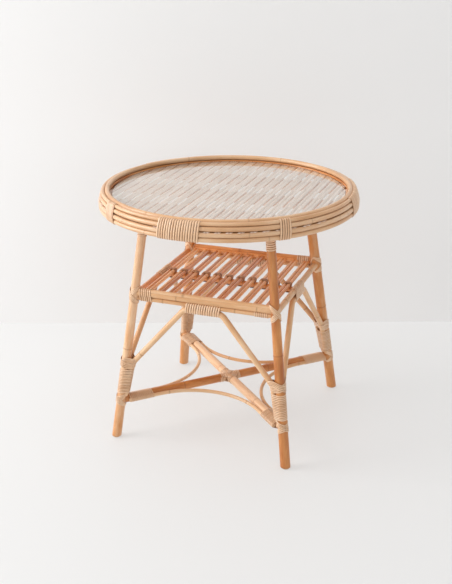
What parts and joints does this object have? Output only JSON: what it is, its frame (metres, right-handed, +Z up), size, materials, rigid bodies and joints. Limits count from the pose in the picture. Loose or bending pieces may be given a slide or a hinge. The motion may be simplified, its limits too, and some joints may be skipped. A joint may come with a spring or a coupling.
{
  "type": "coffee table",
  "caption": "Round rattan side table with a loose glass inlay in a bound cane rim, splayed legs, a slatted lower shelf, arch braces and a diagonal cross stretcher.",
  "frame": {"origin": "on the floor, in the middle of the four feet", "axes": "+Z up, +X to the right and +Y to the back as seen from the front; the legs stand on the diagonals"},
  "size_m": [0.5877, 0.5878, 0.5779],
  "materials": {
    "pole": "satin lacquer on honey brown cane poles",
    "cane": "satin lacquer on light honey cane",
    "slat_cane": "satin lacquer on reddish brown cane",
    "split_cane": "smooth pale split cane",
    "binding": "glossy peach cane peel strip",
    "dark_binding": "glossy brown cane peel strip",
    "nail": "dull darkened steel",
    "glide": "satin cream plastic",
    "glass": "clear polished float glass"
  },
  "bodies": {
    "frame": {"leg_front_left": "pole", "leg_front_right": "pole", "leg_back_left": "pole", "leg_back_right": "pole", "foot_glide_front_left": "glide", "foot_glide_front_right": "glide", "foot_glide_back_left": "glide", "foot_glide_back_right": "glide", "rim_core_ring": "pole", "rim_packing_ring": "cane", "rim_bead": "cane", "rim_hoop_1": "cane", "rim_hoop_2": "cane", "rim_hoop_3": "cane", "rim_hoop_4": "cane", "deck_pole_front": "pole", "deck_pole_middle": "pole", "deck_pole_back": "pole", "deck_split_canes": "split_cane", "shelf_rail_front": "cane", "shelf_rail_back": "cane", "shelf_rail_left": "cane", "shelf_rail_right": "cane", "shelf_under_cane_front": "cane", "shelf_under_cane_back": "cane", "shelf_cover_front": "cane", "shelf_cover_back": "cane", "shelf_middle_bar": "slat_cane", "shelf_slats": "slat_cane", "arch_brace_front": "cane", "arch_brace_back": "cane", "arch_brace_left": "cane", "arch_brace_right": "cane", "stretcher_pole_a": "pole", "stretcher_pole_b": "pole", "bent_cane_front": "cane", "bent_cane_back": "cane", "bent_cane_left": "cane", "bent_cane_right": "cane", "rim_bindings": "binding", "leg_top_bindings": "binding", "shelf_corner_bindings": "binding", "rail_end_bindings": "binding", "slat_lashings": "dark_binding", "arch_top_bindings": "binding", "brace_foot_bindings": "binding", "leg_wrappings": "binding", "stretcher_corner_bindings": "binding", "stretcher_arm_bindings": "binding", "stretcher_cross_lashing": "binding", "joint_nails": "nail", "cross_pin": "nail"},
    "glass": {"glass_top": "glass"}
  },
  "joints": [
    {"name": "glass_lift", "type": "slide", "parent": "frame", "child": "glass", "axis": [0, 0, 1], "range_m": [0, 0.045]}
  ]
}
